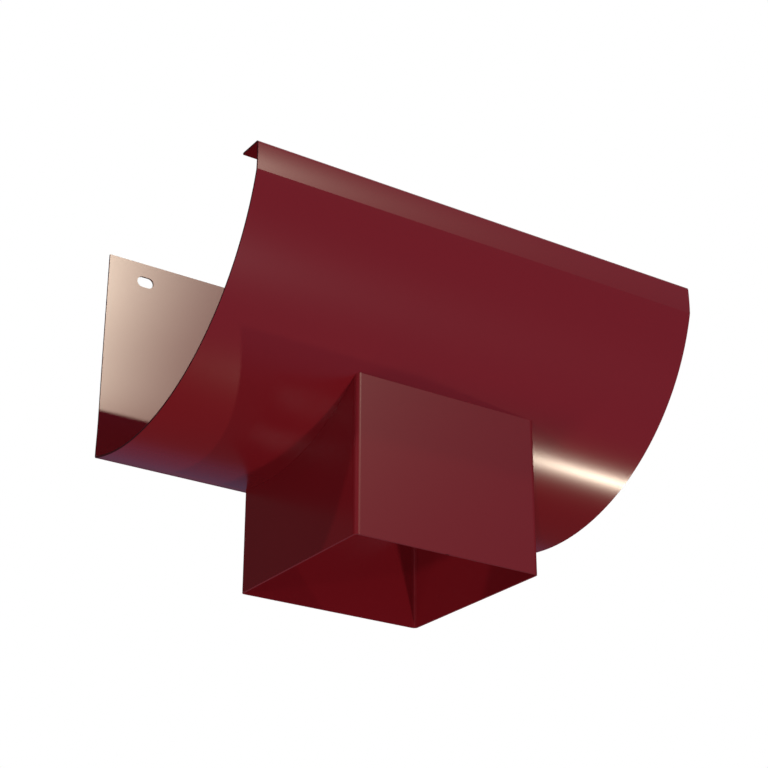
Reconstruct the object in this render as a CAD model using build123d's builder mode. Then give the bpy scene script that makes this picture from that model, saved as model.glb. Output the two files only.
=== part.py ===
from build123d import *

import os
from math import sqrt

# Gutter outlet in painted sheet steel: a short length of gutter with a square spout for a downpipe.
# Millimetres, +Z up. The origin is the centre of the spout's lower mouth. X runs along the gutter,
# the rolled bowl and its hooked lip are at the front (-Y), and the flat rear wall is at +Y.

# Sheet
sheet = 0.8  # thickness of both folded pieces
fold_radius = 0.5  # inside radius of every sharp fold

# Trough
trough_length = 200.0
bowl_radius = 95.4  # outside of the rolled bowl
rear_behind_axis = 27.36  # bowl's axis to the outside of the rear wall
rear_top_below_axis = 3.39  # rear wall's top edge, below the bowl's axis
lip_top_below_axis = 11.92  # hook's upper face, below the bowl's axis
lip_height = 11.35  # upright band between the bowl and the hook's upper face
hook_depth = 11.0  # hook's reach inwards from the outside of the lip

# Fixing slots in the rear wall, one near each end
slot_length = 7.15
slot_height = 4.6
slot_from_end = 16.15  # slot's centre to the trough's end
slot_from_top = 8.07  # slot's centre to the rear wall's top edge

# Spout
spout_side = 81.5  # outside of the square tube
spout_corner = 0.9  # inside radius of the tube's upright folds
spout_drop = 40.56  # trough's lowest point to the spout's lower mouth
spout_off_middle = 2.33  # tube's centre from the middle of the trough's length, towards +X

# Seat of the spout in the trough
flange_width = 4.8  # turned edge of the spout, outwards from the tube
flange_corner = 5.0  # radius of the flange's corners
flange_to_rear = 1.25  # flange's edge to the inside of the rear wall
opening_gap = 0.3  # tube to the edge of the opening, all round
seat_gap = 0.05  # sealant between the flange and the bowl

# Places worked out from the sizes above
rear_y = spout_side / 2 + flange_width + flange_to_rear + sheet
axis_y = rear_y - rear_behind_axis
axis_z = spout_drop + bowl_radius
middle_x = -spout_off_middle
rear_top_z = axis_z - rear_top_below_axis
rear_foot_z = axis_z - sqrt(bowl_radius**2 - rear_behind_axis**2)
lip_top_z = axis_z - lip_top_below_axis
lip_foot_z = lip_top_z - lip_height
lip_y = axis_y - sqrt(bowl_radius**2 - (axis_z - lip_foot_z) ** 2)
slot_z = rear_top_z - slot_from_top
slot_spacing = trough_length - 2 * slot_from_end
flange_outside = bowl_radius - sheet - seat_gap
flange_inside = flange_outside - sheet
flange_side = spout_side + 2 * flange_width
opening_side = spout_side + 2 * opening_gap
tube_side = spout_side - 2 * sheet
tube_corner = spout_corner + sheet

os.makedirs("parts", exist_ok=True)

# Trough: the section's outer line runs from the hook's free edge, down the lip and round the bowl to the rear
# wall's top. It takes the sheet's thickness inwards and is drawn out along the gutter.
with BuildPart() as trough:
    with BuildSketch(Plane.YZ.offset(middle_x)):
        with BuildLine() as section:
            Polyline((lip_y + hook_depth, lip_top_z), (lip_y, lip_top_z), (lip_y, lip_foot_z))
            ThreePointArc((lip_y, lip_foot_z), (axis_y, spout_drop), (rear_y, rear_foot_z))
            Line((rear_y, rear_foot_z), (rear_y, rear_top_z))
            fillet(section.vertices(), radius=fold_radius + sheet)
            offset(amount=sheet, side=Side.LEFT)
        make_face()
    extrude(amount=trough_length / 2, both=True)
    # Square opening over the spout
    with BuildSketch():
        RectangleRounded(opening_side, opening_side, tube_corner + opening_gap)
    extrude(amount=axis_z, mode=Mode.SUBTRACT)
    # Fixing slots, long along the gutter
    with BuildSketch(Plane.XZ.offset(-rear_y)):
        with Locations((middle_x, slot_z)):
            with GridLocations(slot_spacing, 0, 2, 1):
                SlotOverall(slot_length, slot_height)
    extrude(amount=sheet, mode=Mode.SUBTRACT)
trough.part.label = "trough"

# Spout: a square tube whose top follows the bowl, with its edge turned out over the rim of the opening.
with BuildPart() as spout:
    # Flange's outline, its underside shaped to the inside of the bowl
    with BuildSketch():
        RectangleRounded(flange_side, flange_side, flange_corner)
    extrude(amount=axis_z)
    with BuildSketch(Plane.YZ):
        with Locations((axis_y, axis_z)):
            Circle(flange_outside)
    extrude(amount=flange_side / 2, both=True, mode=Mode.INTERSECT)
    # Tube under the flange
    with BuildSketch():
        RectangleRounded(spout_side, spout_side, tube_corner)
    extrude(amount=axis_z)
    # Flange's upper side, one sheet above its underside
    with BuildSketch(Plane.YZ):
        with Locations((axis_y, axis_z)):
            Circle(flange_inside)
    extrude(amount=flange_side / 2, both=True, mode=Mode.SUBTRACT)
    # Waterway down the tube, with the fold rounded where the water runs in
    with BuildSketch():
        RectangleRounded(tube_side, tube_side, spout_corner)
    extrude(amount=axis_z, mode=Mode.SUBTRACT)
    flange_top = spout.faces().filter_by(GeomType.CYLINDER).sort_by(SortBy.RADIUS)[-2]
    fillet(flange_top.inner_wires()[0].edges(), radius=sheet)
spout.part.label = "spout"

export_step(trough.part, "parts/trough.step")
export_step(spout.part, "parts/spout.step")
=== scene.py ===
from math import atan2, cos, pi, radians, sin

import bpy
import numpy as np
from bpy.props import FloatProperty, FloatVectorProperty, PointerProperty
from mathutils import Matrix, Vector


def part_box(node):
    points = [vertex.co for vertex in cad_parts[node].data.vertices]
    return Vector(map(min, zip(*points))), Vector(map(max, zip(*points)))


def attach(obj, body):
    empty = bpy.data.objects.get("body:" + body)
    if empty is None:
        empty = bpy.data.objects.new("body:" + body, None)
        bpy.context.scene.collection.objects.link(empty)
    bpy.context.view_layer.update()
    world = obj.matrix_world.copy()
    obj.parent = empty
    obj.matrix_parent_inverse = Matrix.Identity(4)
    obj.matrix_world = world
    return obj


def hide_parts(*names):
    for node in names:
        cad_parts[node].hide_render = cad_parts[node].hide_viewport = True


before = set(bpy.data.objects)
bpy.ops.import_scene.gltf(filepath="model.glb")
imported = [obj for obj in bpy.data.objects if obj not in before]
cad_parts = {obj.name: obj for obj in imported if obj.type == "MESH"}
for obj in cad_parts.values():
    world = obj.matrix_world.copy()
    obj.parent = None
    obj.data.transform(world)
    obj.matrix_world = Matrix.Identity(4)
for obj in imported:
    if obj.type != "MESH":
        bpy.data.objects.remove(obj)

# Gutter outlet in wine-red painted sheet steel: a rolled trough with a square spout seated in its floor.
# Metres, +Z up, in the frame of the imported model: X runs along the gutter, the hooked lip is at -Y.

bl_info = {
    "name": "Gutter outlet",
    "version": (1, 0, 0),
    "blender": (4, 5, 0),
    "location": "View3D > Sidebar > Outlet",
    "description": "Builds the painted sheets of a gutter outlet and a plain studio around them",
    "category": "Object",
}

MM = 0.001
PAINT_IOR = 1.42
# Dullness of the faces: a tight fold, where the coat is stretched, the spout's shorn edges and the trough's,
# whose mark also brings their painted shade
FOLD_DULLED, SPOUT_EDGE, TROUGH_EDGE = 0.7, 0.9, 1.0
WALL_SWELL = 12 * MM, 0.4 * MM, 24 * MM  # height above the wall's foot, depth and spread
MIX_FACTOR, MIX_A, MIX_B, MIX_RESULT = 0, 6, 7, 2  # sockets of a Mix node that mixes colours
SHARP_FROM = 35  # degrees between faces that meet in a crisp edge
SHINE, SHINE_OF_EDGES = 0.5, 0.1  # specular level of sound paint and of a shorn edge
FRONT_EDGES = 0.1, -0.4  # Y of a mirrored direction where the front wall begins and where it is full
GLOW_TOWARDS = 0.38, 0.9, -0.2  # middle of the cool wall behind the object
GLOW_EDGES = 0.93, 0.985  # cosine to that middle where the wall begins and where it is full
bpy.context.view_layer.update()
TROUGH_LOW, TROUGH_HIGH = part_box("trough")
SPOUT_LOW, SPOUT_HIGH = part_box("spout")

# Lamps: name, azimuth from -Y towards +X and elevation in degrees, strength, apparent width in degrees, warm
# or not. The key and the low right lamp draw the two highlights; the next six fill; the last two light the
# hollow and the back.
LAMPS = (
    ("key", 20.2, 27.5, 1.06, 0.8, True),
    ("low_right", 94.2, -52.2, 0.60, 1.0, True),
    ("viewer_side", -40.0, -28.0, 0.60, 2.0, False),
    ("low_front", 9.8, -33.8, 1.26, 2.5, False),
    ("high_left", -62.8, 46.0, 0.82, 2.0, False),
    ("low_left", -75.0, -16.0, 0.61, 3.0, False),
    ("low_rear", -146.3, -56.0, 0.28, 3.0, False),
    ("below", -101.9, -73.8, 0.58, 8.0, False),
    ("overhead", 0.0, 86.0, 1.3, 10.0, False),
    ("high_rear", 160.0, 38.0, 1.3, 10.0, False),
)


def linear(code):
    """sRGB hex as linear red, green, blue and a full alpha."""
    srgb = np.array([int(code[k : k + 2], 16) for k in (1, 3, 5)]) / 255
    rgb = np.where(srgb <= 0.04045, srgb / 12.92, ((srgb + 0.055) / 1.055) ** 2.4)
    return (*rgb.tolist(), 1.0)


def length(name, description, millimetres):
    """A size in metres, given here in millimetres."""
    return FloatProperty(
        name=name, description=description, default=millimetres * MM, unit="LENGTH", precision=5
    )


def angle(name, description, degrees):
    """An angle in radians, given here in degrees."""
    return FloatProperty(name=name, description=description, default=radians(degrees), subtype="ANGLE")


def colour(name, description, code):
    """A colour that the user picks, given here as sRGB hex."""
    return FloatVectorProperty(
        name=name, description=description, default=linear(code), size=4, subtype="COLOR", min=0, max=1
    )


class TroughSizes(bpy.types.PropertyGroup):
    """Sizes of the rolled trough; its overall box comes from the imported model"""

    sheet: length("Sheet", "Thickness of the sheet", 0.8)
    fold_radius: length("Fold radius", "Outside radius of every sharp fold", 1.3)
    bowl_radius: length("Bowl radius", "Outside radius of the rolled bowl", 95.4)
    rear_behind_axis: length("Rear behind axis", "Bowl's axis to the outside of the rear wall", 27.36)
    lip_below_rear: length("Lip below rear", "Hook's upper face below the rear wall's top", 8.53)
    lip_crown: length("Lip crown", "Bulge of the lip's band from its folds to its middle", 0.13)
    hook_depth: length("Hook depth", "Hook's reach inwards from the lip", 11.0)
    slot_length: length("Slot length", "Length of a fixing slot", 7.15)
    slot_height: length("Slot height", "Height of a fixing slot", 4.6)
    slot_from_end: length("Slot from end", "Slot's middle to the trough's end", 16.15)
    slot_from_top: length("Slot from top", "Slot's middle to the rear wall's top", 8.07)
    opening_side: length("Opening side", "Square opening over the spout", 81.62)
    opening_corner: length("Opening corner", "Corner radius of the opening", 1.76)


class SpoutSizes(bpy.types.PropertyGroup):
    """Sizes of the square spout and its turned flange"""

    side: length("Side", "Outside of the square tube", 81.5)
    corner: length("Corner", "Outside radius of the tube's upright folds", 1.7)
    flange_corner: length("Flange corner", "Radius of the flange's corners", 5.0)
    seat_gap: length("Seat gap", "Sealant between the flange and the bowl", 0.05)


class PaintFinish(bpy.types.PropertyGroup):
    """Colours and grain of the baked paint"""

    paint: colour("Paint", "Wine red of the coat", "#6B1016")
    paint_deep: colour("Deeper paint", "Same red where the coat runs a little thicker", "#670E14")
    cut_edge: colour("Cut edge", "Shorn edge of the sheet under its thin line of paint", "#681C20")
    # Painted shade: the trough's shorn edges are painted a darker red, as they look in shade
    painted_edge_shade: colour("Painted edge shade", "Shorn edge of the sheet painted a darker red as shade", "#3C0F14")
    tone_size: length("Tone size", "Width of the coat's slow changes of tone", 40.0)
    peel_size: length("Peel size", "Width of one ripple of the coat's orange peel", 1.8)
    gloss_low: FloatProperty(name="Gloss low", description="Roughness of the smoothest paint", default=0.21)
    gloss_high: FloatProperty(name="Gloss high", description="Roughness of the dullest paint", default=0.23)
    gloss_edge: FloatProperty(name="Gloss of edges", description="Roughness of a shorn edge", default=0.45)
    peel_depth: length("Peel depth", "Height of the orange peel's ripples", 0.0006)


class StageSettings(bpy.types.PropertyGroup):
    """Camera, floor and colours of the studio"""

    backdrop: colour("Backdrop", "Colour behind the object", "#FFFFFF")
    room: colour("Room", "Dim surroundings that the paint mirrors", "#444446")
    front: colour("Front", "Cool wall behind the camera, mirrored by all that faces it", "#697B99")
    glow: colour("Glow", "Cool wall behind the object, mirrored by the bowl's underside", "#5C6080")
    floor: colour("Floor", "Pale floor under the object", "#E6E4E1")
    floor_grain: length("Floor grain", "Width of the floor's faint mottling", 60.0)
    floor_reach: length("Floor reach", "Middle of the floor to its edge", 3000.0)
    white_above: angle("White above", "Height at which mirrored surroundings turn white", 50.0)
    lamp_warm: colour("Warm lamp", "Tint of the two lamps that show as highlights", "#FFEFD7")
    lamp_plain: colour("Plain lamp", "Tint of the lamps that fill", "#FFFFFF")
    azimuth: angle("Azimuth", "Camera's turn to the left of the front", 33.491722)
    elevation: angle("Elevation", "Camera's upward slant", 24.694355)
    roll: angle("Roll", "Camera's turn about its own axis", 0.122104)
    place: FloatVectorProperty(
        name="Place",
        description="Camera's place",
        default=(-0.36716756, -0.55218008, -0.22131293),
        subtype="TRANSLATION",
        precision=5,
    )
    lens: FloatProperty(
        name="Lens", description="Focal length on a 36 mm frame", default=85.978142, unit="CAMERA"
    )


class OutletSettings(bpy.types.PropertyGroup):
    """Everything that a user of the outlet would change"""

    trough: PointerProperty(type=TroughSizes)
    spout: PointerProperty(type=SpoutSizes)
    finish: PointerProperty(type=PaintFinish)
    stage: PointerProperty(type=StageSettings)


def straight(start, end, inward, count):
    """Run of a section along a straight line, with the direction into the trough at each of its points."""
    share = np.linspace(0, 1, count)[:, None]
    points = np.array(start) + share * (np.array(end) - np.array(start))
    return points, np.broadcast_to(np.array(inward, float), points.shape)


def crowned(start, end, crown, count):
    """Run of a section down an upright band that bulges to -Y by a parabola, crown high in its middle."""
    share = np.linspace(0, 1, count)
    z = start[1] + share * (end[1] - start[1])
    y = start[0] - 4 * crown * share * (1 - share)
    slope = -4 * crown * (1 - 2 * share) / (end[1] - start[1])
    inward = np.column_stack([np.ones(count), -slope])
    return np.column_stack([y, z]), inward / np.linalg.norm(inward, axis=1)[:, None]


def bowed(start, end, swell, count):
    """Run of a section up the rear wall, slightly bowed inwards as a wide thin sheet can be.

    The swell (height above the run's foot, depth, spread) is depth exp(-(z - height)^2 / spread^2), faded to
    nothing over one height at both ends by the smooth step 3 t^2 - 2 t^3."""
    height, depth, spread = swell
    z = np.linspace(start[1], end[1], count)
    rise = z - start[1]
    bow = depth * np.exp(-(((rise - height) / spread) ** 2))
    for t in (rise / height, (rise[-1] - rise) / height):
        t = np.clip(t, 0, 1)
        bow = bow * t**2 * (3 - 2 * t)
    inward = np.column_stack([-np.ones(count), -np.gradient(bow, z)])
    return np.column_stack([start[0] - bow, z]), inward / np.linalg.norm(inward, axis=1)[:, None]


def bend(centre, radius, first, last, count):
    """Run of a section round a circle: centre + radius (cos a, sin a), a going evenly from first to last."""
    a = np.linspace(first, last, count)
    ray = np.column_stack([np.cos(a), np.sin(a)])
    return np.array(centre) + radius * ray, -ray


def join_runs(*runs):
    """Section runs put end to end, each without the first point that it shares with the run before."""
    points = [runs[0][0]] + [run[0][1:] for run in runs[1:]]
    inward = [runs[0][1]] + [run[1][1:] for run in runs[1:]]
    return np.concatenate(points), np.concatenate(inward)


def drawn_out(run, columns, sheet):
    """Section run carried along X: the outer side has (x, y, z), the inner side lies one sheet further in."""
    points, inward = run
    x = np.broadcast_to(columns, (len(points), len(columns)))
    sides = []
    for depth in (0.0, sheet):
        y, z = (points + depth * inward).T
        sides.append(np.stack([x, *(np.broadcast_to(v[:, None], x.shape) for v in (y, z))], -1))
    return sides


def grid_faces(rows, columns, ring=False):
    """Four-sided faces of a grid of points, closed round its columns where it is a ring."""
    index = np.arange(rows * columns).reshape(rows, columns)
    after = np.roll(index, -1, axis=1) if ring else index[:, 1:]
    here = index if ring else index[:, :-1]
    return np.stack([here[:-1], after[:-1], after[1:], here[1:]], -1).reshape(-1, 4)


def square_side(half, radius, share):
    """One side of a square with rounded corners, from the middle of one corner to the middle of the next.

    The side is walked by its length, share -1 to 1: straight out to half - radius from its middle, then round
    an eighth of the corner's circle. Returns the place along the side and the place across it."""
    flat = half - radius
    walked = share * (flat + radius * pi / 4)
    for start in (-flat, flat):
        walked[np.argmin(np.abs(walked - start))] = start
    turn = np.clip(np.abs(walked) - flat, 0, None) / radius
    along = np.sign(walked) * (np.minimum(np.abs(walked), flat) + radius * np.sin(turn))
    return along, flat + radius * np.cos(turn)


def square_outline(half, radius, counts):
    """Rounded square seen from above, from its rear left corner by the rear, right, front and left sides.

    counts are the steps on a side along X and on a side along Y. Steps shorten towards the corners as the
    sine of an even walk does, and a step ends where each corner begins, so that the corners are true."""
    sides = []
    for k, count in enumerate((counts[0], counts[1], counts[0], counts[1])):
        share = np.sin(np.linspace(-1, 1, count + 1)[:-1] * pi / 2)
        along, across = square_side(half, radius, share)
        c, s = cos(k * pi / 2), sin(k * pi / 2)
        sides.append(np.column_stack([c * along + s * across, c * across - s * along]))
    return np.concatenate(sides)


def frame_outline(columns, rows):
    """Rectangle of grid points walked as square_outline walks: rear, right, front and left sides."""
    rear = np.column_stack([columns[:-1], np.full(len(columns) - 1, rows[-1])])
    right = np.column_stack([np.full(len(rows) - 1, columns[-1]), rows[:0:-1]])
    front = np.column_stack([columns[:0:-1], np.full(len(columns) - 1, rows[0])])
    left = np.column_stack([np.full(len(rows) - 1, columns[0]), rows[:-1]])
    return np.concatenate([rear, right, front, left])


def between(inside, outside, count):
    """Rings of points on straight lines from one outline to another."""
    share = np.linspace(0, 1, count + 1)[:, None, None]
    return inside + share * (outside - inside)


def welded(patches):
    """Patches of (outer side, inner side, faces) as one sheet: outer points that coincide become one."""
    outer = np.concatenate([p[0].reshape(-1, 3) for p in patches])
    inner = np.concatenate([p[1].reshape(-1, 3) for p in patches])
    starts = np.cumsum([0] + [p[0].size // 3 for p in patches[:-1]])
    faces = np.concatenate([p[2] + start for p, start in zip(patches, starts)])
    grain = 1e-3 * MM
    cells = np.round(outer / grain + 0.25)
    _, first, place = np.unique(cells, axis=0, return_index=True, return_inverse=True)
    return outer[first], inner[first], place.reshape(-1)[faces]


def sheet_solid(outer, inner, faces):
    """Closed sheet from its two sides: the inner side turned over, and a rim along the edges of a single face.

    Returns points, faces and how dulled each face is."""
    count = len(outer)
    edges = np.concatenate([faces[:, [k, (k + 1) % 4]] for k in range(4)])
    _, first, uses = np.unique(np.sort(edges, axis=1), axis=0, return_index=True, return_counts=True)
    a, b = edges[first[uses == 1]].T
    rim = np.column_stack([b, a, a + count, b + count])
    points = np.concatenate([outer, inner])
    every = np.concatenate([faces, faces[:, ::-1] + count, rim])
    # The rim faces' mark also paints them a darker red as shade, in coil_coated_steel
    return points, every, np.repeat([0.0, TROUGH_EDGE], [2 * len(faces), len(rim)])


def facing_out(points, faces):
    """Faces turned so that the mesh has a positive volume, summed over the tetrahedra to the origin."""
    a, b, c, d = (points[faces[:, k]] for k in range(4))
    volume = np.einsum("ij,ij->", a, np.cross(b, c)) + np.einsum("ij,ij->", a, np.cross(c, d))
    return faces if volume > 0 else faces[:, ::-1]


def bowl_height(y, radius, axis):
    """Height of the lower half of a circle of that radius about the bowl's axis, at the place y."""
    return axis[1] - np.sqrt(radius**2 - (y - axis[0]) ** 2)


def bowl_axis(sizes):
    """Place (y, z) of the bowl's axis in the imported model."""
    return TROUGH_HIGH.y - sizes.rear_behind_axis, TROUGH_LOW.z + sizes.bowl_radius


def trough_mesh(sizes):
    """The trough's sheet, drawn along X: hook, lip, rolled bowl with its opening, and slotted rear wall."""
    sheet, fold, bowl = sizes.sheet, sizes.fold_radius, sizes.bowl_radius
    axis = bowl_axis(sizes)
    left, right = TROUGH_LOW.x, TROUGH_HIGH.x
    lip_y, rear_y, rear_top = TROUGH_LOW.y, TROUGH_HIGH.y, TROUGH_HIGH.z
    lip_top = rear_top - sizes.lip_below_rear
    slot_z = rear_top - sizes.slot_from_top
    slot_pad = sizes.slot_from_top
    slots_x = (left + sizes.slot_from_end, right - sizes.slot_from_end)

    # Columns along the gutter, closer together over the slots
    stops = [left, *(x + pad for x in slots_x for pad in (-slot_pad, slot_pad)), right]
    steps = [6, 16, 72, 16, 6]
    spans = [np.linspace(a, b, n + 1)[:-1] for a, b, n in zip(stops, stops[1:], steps)]
    columns = np.concatenate(spans + [[right]])

    # Folds touch the bowl from inside, so their centres lie bowl - fold from its axis
    band_y = lip_y + sizes.lip_crown
    lip_fold = (band_y + fold, bowl_height(band_y + fold, bowl - fold, axis))
    rear_fold = (rear_y - fold, bowl_height(rear_y - fold, bowl - fold, axis))
    bowl_first = 2 * pi + atan2(lip_fold[1] - axis[1], lip_fold[0] - axis[0])
    bowl_last = 2 * pi + atan2(rear_fold[1] - axis[1], rear_fold[0] - axis[0])

    lip_run = join_runs(
        straight((lip_y + sizes.hook_depth, lip_top), (band_y + fold, lip_top), (0, -1), 9),
        bend((band_y + fold, lip_top - fold), fold, pi / 2, pi, 9),
        crowned((band_y, lip_top - fold), (band_y, lip_fold[1]), sizes.lip_crown, 25),
        bend(lip_fold, fold, pi, bowl_first, 5),
    )
    wall_run = join_runs(
        bend(rear_fold, fold, bowl_last, 2 * pi, 9),
        bowed((rear_y, rear_fold[1]), (rear_y, slot_z - slot_pad), WALL_SWELL, 73),
    )
    patches = []
    for run in (lip_run, wall_run):
        patches.append((*drawn_out(run, columns, sheet), grid_faces(len(run[0]), len(columns))))

    # Bowl round its opening: rings go from the opening's upright cut out to the bowl's four borders
    rows = np.linspace(bowl_first, bowl_last, 97)
    cut = square_outline(sizes.opening_side / 2, sizes.opening_corner, (len(columns) - 1, len(rows) - 1))
    border = frame_outline(columns, rows)
    sides = []
    for radius in (bowl, bowl - sheet):
        turned = np.column_stack([cut[:, 0], 2 * pi - np.arccos((cut[:, 1] - axis[0]) / radius)])
        x, a = np.moveaxis(between(turned, border, 32), -1, 0)
        sides.append(np.stack([x, axis[0] + radius * np.cos(a), axis[1] + radius * np.sin(a)], -1))
    patches.append((*sides, grid_faces(33, len(cut), ring=True)))

    # Rear wall's upper band: plain stretches, and rings round each slot
    heights = np.linspace(slot_z - slot_pad, rear_top, 17)
    ends = np.cumsum([0] + steps)
    for first, last in zip(ends[::2], ends[1::2]):
        band = straight((rear_y, heights[0]), (rear_y, heights[-1]), (-1, 0), len(heights))
        span = columns[first : last + 1]
        patches.append((*drawn_out(band, span, sheet), grid_faces(len(heights), len(span))))
    for middle, first, last in zip(slots_x, ends[1::2], ends[2::2]):
        border = frame_outline(columns[first : last + 1], heights)
        rings = between(slot_outline(border, (middle, slot_z), sizes), border, 10)
        sides = []
        for y in (rear_y, rear_y - sheet):
            sides.append(np.stack([rings[..., 0], np.full(rings.shape[:2], y), rings[..., 1]], -1))
        patches.append((*sides, grid_faces(*rings.shape[:2], ring=True)))
    return sheet_solid(*welded(patches))


def slot_outline(border, middle, sizes):
    """Round-ended slot where rays from its middle to the border's points cross it.

    A ray meets the straight side at height / sin, or beyond it the end's circle of the same radius."""
    ray = border - np.array(middle)
    ray = ray / np.linalg.norm(ray, axis=1)[:, None]
    radius = sizes.slot_height / 2
    reach = sizes.slot_length / 2 - radius
    c, s = np.abs(ray).T
    flat = radius / np.maximum(s, 1e-9)
    round_end = reach * c + np.sqrt(radius**2 - (reach * s) ** 2)
    return np.array(middle) + ray * np.where(flat * c <= reach, flat, round_end)[:, None]


def spout_mesh(sizes, trough):
    """The spout as a closed profile carried round the tube's outline.

    The profile climbs the tube's inside, rounds outwards over the inlet edge, follows the flange to its edge
    and back under it, and comes down the outside. Flange heights are those of circles about the bowl's axis."""
    sheet = trough.sheet
    axis = bowl_axis(trough)
    half = sizes.side / 2
    under = trough.bowl_radius - sheet - sizes.seat_gap
    over = under - sheet
    counts = (72, 72)
    inside = square_outline(half - sheet, sizes.corner - sheet, counts)
    outside = square_outline(half, sizes.corner, counts)
    edge = square_outline(SPOUT_HIGH.x, sizes.flange_corner, counts)

    def at(outline, height):
        return np.column_stack([outline, np.broadcast_to(height, len(outline))])

    # Rounded inlet: an arc of one sheet's radius from the upright wall to the flange's slope
    outward = edge - inside
    outward = outward / np.linalg.norm(outward, axis=1)[:, None]
    corner = at(inside, bowl_height(inside[:, 1], over, axis))
    slope = (inside[:, 1] - axis[0]) / np.sqrt(over**2 - (inside[:, 1] - axis[0]) ** 2)
    along = np.column_stack([outward, slope * outward[:, 1]])
    along = along / np.linalg.norm(along, axis=1)[:, None]
    turn = np.arccos(np.clip(along[:, 2], -1, 1))
    back = sheet * np.tan(turn / 2)[:, None]
    up = np.array([0.0, 0.0, 1.0])
    share = np.linspace(0, 1, 7)[:, None]
    to_centre = along - up * along[:, 2:]
    to_centre = to_centre / np.linalg.norm(to_centre, axis=1)[:, None]
    foot = corner - up * back
    centre = foot + sheet * to_centre
    swept = share * turn
    inlet = (
        centre
        - sheet * np.cos(swept)[..., None] * to_centre
        + sheet * np.sin(swept)[..., None] * up
    )

    climb = foot * [1, 1, 0] + np.linspace(0, 1, 25)[:-1, None, None] * foot * [0, 0, 1]
    top_plan = between(inlet[-1][:, :2], edge, 6)[1:]
    top = np.concatenate([top_plan, bowl_height(top_plan[..., 1:], over, axis)], -1)
    below_plan = between(edge, outside, 6)
    below = np.concatenate([below_plan, bowl_height(below_plan[..., 1:], under, axis)], -1)
    fall = below[-1] * [1, 1, 0] + np.linspace(1, 0, 25)[1:, None, None] * below[-1] * [0, 0, 1]
    rings = np.concatenate([climb, inlet, top, below, fall])
    shape = rings.shape[:2]
    points = rings.reshape(-1, 3)
    faces = grid_faces(shape[0], shape[1], ring=True)
    first = np.arange(shape[1])
    last = first + (shape[0] - 1) * shape[1]
    rim = np.column_stack([last, np.roll(last, -1), np.roll(first, -1), first])
    faces = np.concatenate([faces, rim])
    # Dulled faces: shorn edges fully, and the upright folds in part
    middles = (outside + np.roll(outside, -1, axis=0)) / 2
    folds = (np.abs(middles) > half - sizes.corner).all(axis=1)
    dulled = np.repeat([np.where(folds, FOLD_DULLED, 0.0)], shape[0], axis=0)
    dulled[len(climb) + len(inlet) + len(top) - 1] = SPOUT_EDGE
    dulled[-1] = SPOUT_EDGE
    return points, faces, dulled.reshape(-1)


def painted_piece(name, node, points, faces, marks, material):
    """Mesh object of one painted sheet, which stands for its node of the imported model."""
    mesh = bpy.data.meshes.new(name)
    mesh.from_pydata(points.tolist(), [], facing_out(points, faces).tolist())
    if mesh.validate():
        raise RuntimeError(f"{name} has faces that Blender refuses")
    dulled = mesh.attributes.new("dulled", "FLOAT", "FACE")
    dulled.data.foreach_set("value", marks.astype(np.float32))
    mesh.shade_smooth()
    mesh.set_sharp_from_angle(angle=radians(SHARP_FROM))
    mesh.materials.append(material)
    piece = bpy.data.objects.new(name, mesh)
    bpy.context.scene.collection.objects.link(piece)
    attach(piece, "root")
    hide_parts(node)
    return piece


def add_node(tree, kind, inputs=None, **settings):
    """One node of that kind: settings are its options, and each input takes a value or another node's socket."""
    new = tree.nodes.new(kind)
    for name, value in settings.items():
        setattr(new, name, value)
    for socket, value in (inputs or {}).items():
        if isinstance(value, bpy.types.NodeSocket):
            tree.links.new(value, new.inputs[socket])
        else:
            new.inputs[socket].default_value = value
    return new


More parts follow.
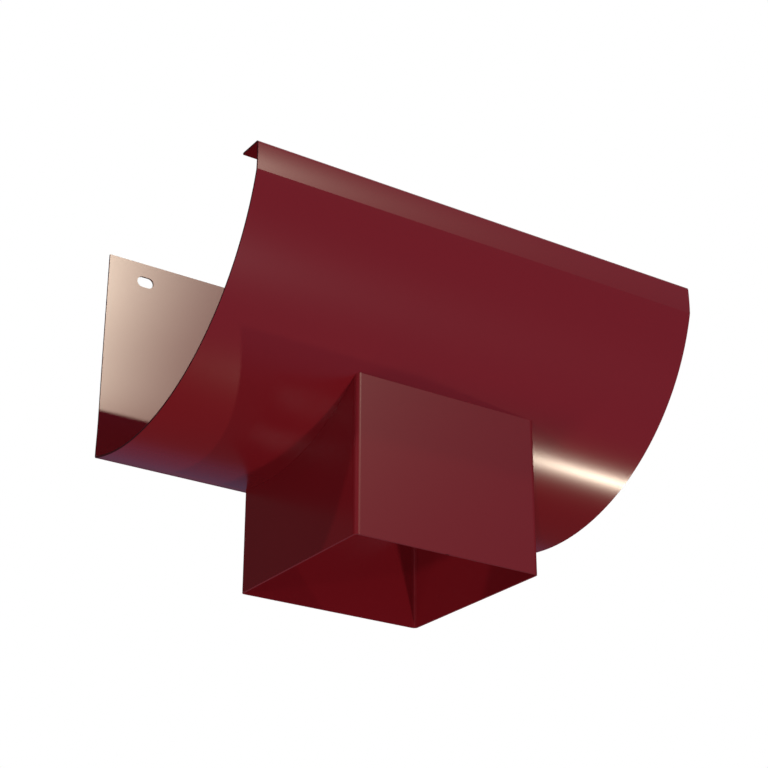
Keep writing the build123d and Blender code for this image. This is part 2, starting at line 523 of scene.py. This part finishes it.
def coil_coated_steel(finish):
    """Polyester paint, rolled on to galvanised coil and baked before the sheet is cut and folded.

    To the eye it is an even deep red under a hard clear gloss: highlights are narrow and clean, with only a
    trace of orange peel, and the colour drifts a little where the rollers laid it thicker. Shorn edges are
    duller."""
    material = bpy.data.materials.get("coil_coated_steel")
    if material is not None:
        return material
    material = bpy.data.materials.new("coil_coated_steel")
    material.use_nodes = True
    tree = material.node_tree
    place = add_node(tree, "ShaderNodeTexCoord").outputs["Object"]
    dulled = add_node(tree, "ShaderNodeAttribute", attribute_name="dulled").outputs["Fac"]
    # Tone drifts slowly, four times slower along the gutter, the way the coil ran through the rollers
    drawn = add_node(
        tree, "ShaderNodeMapping", {"Vector": place, "Scale": (0.25, 1.0, 1.0)}
    ).outputs["Vector"]
    tone_noise = {"Vector": drawn, "Scale": 1 / finish.tone_size, "Detail": 2.0, "Roughness": 0.45}
    tone = add_node(tree, "ShaderNodeTexNoise", tone_noise).outputs["Fac"]
    red = add_node(
        tree,
        "ShaderNodeMix",
        {MIX_FACTOR: tone, MIX_A: finish.paint, MIX_B: finish.paint_deep},
        data_type="RGBA",
    ).outputs[MIX_RESULT]
    # Shorn edges: a thin line of paint on the spout's, and on the trough's a darker red that is painted shade
    for mark, edge in ((SPOUT_EDGE, finish.cut_edge), (TROUGH_EDGE, finish.painted_edge_shade)):
        share = add_node(
            tree, "ShaderNodeMapRange", {"Value": dulled, "From Min": mark - 0.05, "From Max": mark}
        ).outputs["Result"]
        red = add_node(
            tree, "ShaderNodeMix", {MIX_FACTOR: share, MIX_A: red, MIX_B: edge}, data_type="RGBA"
        ).outputs[MIX_RESULT]
    # Gloss follows the tone; a shorn edge is dull, and a tight fold nearly so
    gloss = add_node(
        tree, "ShaderNodeMapRange", {"Value": tone, "To Min": finish.gloss_low, "To Max": finish.gloss_high}
    ).outputs["Result"]
    gloss = add_node(
        tree, "ShaderNodeMapRange", {"Value": dulled, "To Min": gloss, "To Max": finish.gloss_edge}
    ).outputs["Result"]
    shine = add_node(
        tree, "ShaderNodeMapRange", {"Value": dulled, "To Min": SHINE, "To Max": SHINE_OF_EDGES}
    ).outputs["Result"]
    # Orange peel is far under a pixel deep, so it only stirs the highlights' edges
    peel_noise = {"Vector": place, "Scale": 1 / finish.peel_size, "Detail": 1.0}
    peel = add_node(tree, "ShaderNodeTexNoise", peel_noise).outputs["Fac"]
    ripple = add_node(
        tree, "ShaderNodeBump", {"Strength": 1.0, "Distance": finish.peel_depth, "Height": peel}
    ).outputs["Normal"]
    shader = tree.nodes["Principled BSDF"]
    shader.inputs["IOR"].default_value = PAINT_IOR
    tree.links.new(red, shader.inputs["Base Color"])
    tree.links.new(gloss, shader.inputs["Roughness"])
    tree.links.new(shine, shader.inputs["Specular IOR Level"])
    tree.links.new(ripple, shader.inputs["Normal"])
    return material


def floor_material(stage):
    """Matt pale floor, seen only from above, so that a camera under it still sees the object."""
    material = bpy.data.materials.new("matt_floor_paint")
    material.use_nodes = True
    tree = material.node_tree
    tree.nodes.remove(tree.nodes["Principled BSDF"])
    place = add_node(tree, "ShaderNodeTexCoord").outputs["Object"]
    mottling = {"Vector": place, "Scale": 1 / stage.floor_grain}
    speckle = add_node(tree, "ShaderNodeTexNoise", mottling).outputs["Fac"]
    shade = add_node(
        tree, "ShaderNodeMapRange", {"Value": speckle, "To Min": 0.97, "To Max": 1.0}
    ).outputs["Result"]
    pale = add_node(
        tree,
        "ShaderNodeMix",
        {MIX_FACTOR: 1.0, MIX_A: stage.floor, MIX_B: shade},
        data_type="RGBA",
        blend_type="MULTIPLY",
    ).outputs[MIX_RESULT]
    matt = add_node(tree, "ShaderNodeBsdfDiffuse", {"Color": pale}).outputs["BSDF"]
    clear = add_node(tree, "ShaderNodeBsdfTransparent").outputs["BSDF"]
    below = add_node(tree, "ShaderNodeNewGeometry").outputs["Backfacing"]
    one_way = add_node(tree, "ShaderNodeMixShader", {0: below, 1: matt, 2: clear}).outputs["Shader"]
    tree.links.new(one_way, tree.nodes["Material Output"].inputs["Surface"])
    return material


def lay_floor(stage):
    """Square of floor at the height of the spout's rim.

    It takes the object's shadow, and no light that it sends back reaches the object."""
    reach = stage.floor_reach
    mesh = bpy.data.meshes.new("floor")
    corners = np.array([(-1, -1, 0), (1, -1, 0), (1, 1, 0), (-1, 1, 0)]) * reach
    mesh.from_pydata(corners.tolist(), [], [(0, 1, 2, 3)])
    mesh.materials.append(floor_material(stage))
    floor = bpy.data.objects.new("floor", mesh)
    floor.visible_shadow = floor.visible_diffuse = floor.visible_glossy = False
    bpy.context.scene.collection.objects.link(floor)


def hang_lamp(name, azimuth, elevation, strength, width, tint):
    """Sun lamp whose light comes from that azimuth and elevation."""
    lamp = bpy.data.objects.new(name, bpy.data.lights.new(name, "SUN"))
    lamp.data.energy = strength
    lamp.data.color = tint[:3]
    lamp.data.angle = radians(width)
    a, e = radians(azimuth), radians(elevation)
    towards = Vector((sin(a) * cos(e), -cos(a) * cos(e), sin(e)))
    lamp.rotation_mode = "QUATERNION"
    lamp.rotation_quaternion = towards.to_track_quat("Z", "Y")
    bpy.context.scene.collection.objects.link(lamp)


def set_camera(stage):
    """Camera at its place, looking up along its azimuth and elevation, turned about that line by the roll."""
    camera = bpy.data.objects.new("camera", bpy.data.cameras.new("camera"))
    camera.data.lens = stage.lens
    camera.data.clip_start = 0.01
    a, e, r = stage.azimuth, stage.elevation, stage.roll
    ahead = Vector((sin(a) * cos(e), cos(a) * cos(e), sin(e)))
    side = ahead.cross(Vector((0, 0, 1))).normalized()
    over = side.cross(ahead)
    right = cos(r) * side + sin(r) * over
    up = cos(r) * over - sin(r) * side
    turn = Matrix((right, up, -ahead)).transposed().to_4x4()
    camera.matrix_world = Matrix.Translation(stage.place) @ turn
    bpy.context.scene.collection.objects.link(camera)
    bpy.context.scene.camera = camera


def surround(stage):
    """World: white to the eye, and high up to all that mirrors it; the walls are dim, two of them cool."""
    world = bpy.data.worlds.new("studio")
    world.use_nodes = True
    tree = world.node_tree
    towards = add_node(tree, "ShaderNodeTexCoord").outputs["Generated"]
    axes = add_node(tree, "ShaderNodeSeparateXYZ", {"Vector": towards}).outputs
    facing = add_node(
        tree, "ShaderNodeVectorMath", {0: towards, 1: GLOW_TOWARDS}, operation="DOT_PRODUCT"
    ).outputs["Value"]
    walls = stage.room
    for place, edges, paint in ((axes["Y"], FRONT_EDGES, stage.front), (facing, GLOW_EDGES, stage.glow)):
        share = add_node(
            tree,
            "ShaderNodeMapRange",
            {"Value": place, "From Min": edges[0], "From Max": edges[1]},
            interpolation_type="SMOOTHSTEP",
        ).outputs["Result"]
        walls = add_node(
            tree, "ShaderNodeMix", {MIX_FACTOR: share, MIX_A: walls, MIX_B: paint}, data_type="RGBA"
        ).outputs[MIX_RESULT]
    room = tree.nodes["Background"]
    tree.links.new(walls, room.inputs["Color"])
    white = add_node(tree, "ShaderNodeBackground", {"Color": stage.backdrop}).outputs["Background"]
    path = add_node(tree, "ShaderNodeLightPath").outputs
    high = add_node(
        tree, "ShaderNodeMath", {0: axes["Z"], 1: sin(stage.white_above)}, operation="GREATER_THAN"
    ).outputs[0]
    mirrored = add_node(
        tree,
        "ShaderNodeMath",
        {0: path["Is Glossy Ray"], 1: path["Is Transmission Ray"]},
        operation="MAXIMUM",
    ).outputs[0]
    mirrored = add_node(tree, "ShaderNodeMath", {0: mirrored, 1: high}, operation="MULTIPLY").outputs[0]
    seen = add_node(
        tree, "ShaderNodeMath", {0: path["Is Camera Ray"], 1: mirrored}, operation="MAXIMUM"
    ).outputs[0]
    dim = room.outputs["Background"]
    around = add_node(tree, "ShaderNodeMixShader", {0: seen, 1: dim, 2: white}).outputs["Shader"]
    tree.links.new(around, tree.nodes["World Output"].inputs["Surface"])
    bpy.context.scene.world = world


class OUTLET_OT_trough(bpy.types.Operator):
    """Build the rolled trough with its hooked lip, opening and slots"""

    bl_idname = "outlet.trough"
    bl_label = "Trough"

    def execute(self, context):
        settings = context.scene.outlet
        mesh = trough_mesh(settings.trough)
        painted_piece("rolled_trough", "trough", *mesh, coil_coated_steel(settings.finish))
        return {"FINISHED"}


class OUTLET_OT_spout(bpy.types.Operator):
    """Build the square spout with its flange turned out into the bowl"""

    bl_idname = "outlet.spout"
    bl_label = "Spout"

    def execute(self, context):
        settings = context.scene.outlet
        mesh = spout_mesh(settings.spout, settings.trough)
        painted_piece("square_spout", "spout", *mesh, coil_coated_steel(settings.finish))
        return {"FINISHED"}


class OUTLET_OT_stage(bpy.types.Operator):
    """Set up the studio: camera, lamps, floor and backdrop"""

    bl_idname = "outlet.stage"
    bl_label = "Stage"

    def execute(self, context):
        stage = context.scene.outlet.stage
        set_camera(stage)
        for name, azimuth, elevation, strength, width, warm in LAMPS:
            tint = stage.lamp_warm if warm else stage.lamp_plain
            hang_lamp(name, azimuth, elevation, strength, width, tint)
        lay_floor(stage)
        surround(stage)
        context.scene.view_settings.view_transform = "Standard"
        return {"FINISHED"}


class OUTLET_PT_panel(bpy.types.Panel):
    """Lists the pieces of the outlet and its stage"""

    bl_label = "Gutter outlet"
    bl_space_type = "VIEW_3D"
    bl_region_type = "UI"
    bl_category = "Outlet"

    def draw(self, context):
        for operator in (OUTLET_OT_trough, OUTLET_OT_spout, OUTLET_OT_stage):
            self.layout.operator(operator.bl_idname)


CLASSES = (
    TroughSizes,
    SpoutSizes,
    PaintFinish,
    StageSettings,
    OutletSettings,
    OUTLET_OT_trough,
    OUTLET_OT_spout,
    OUTLET_OT_stage,
    OUTLET_PT_panel,
)


def register():
    """Adds the classes and the settings on the scene."""
    for cls in CLASSES:
        bpy.utils.register_class(cls)
    bpy.types.Scene.outlet = PointerProperty(type=OutletSettings)


def unregister():
    """Takes the settings and the classes out again."""
    del bpy.types.Scene.outlet
    for cls in reversed(CLASSES):
        bpy.utils.unregister_class(cls)


def main():
    """Builds the pieces and the stage in order."""
    register()
    bpy.ops.outlet.trough()
    bpy.ops.outlet.spout()
    bpy.ops.outlet.stage()


if __name__ == "__main__":
    main()
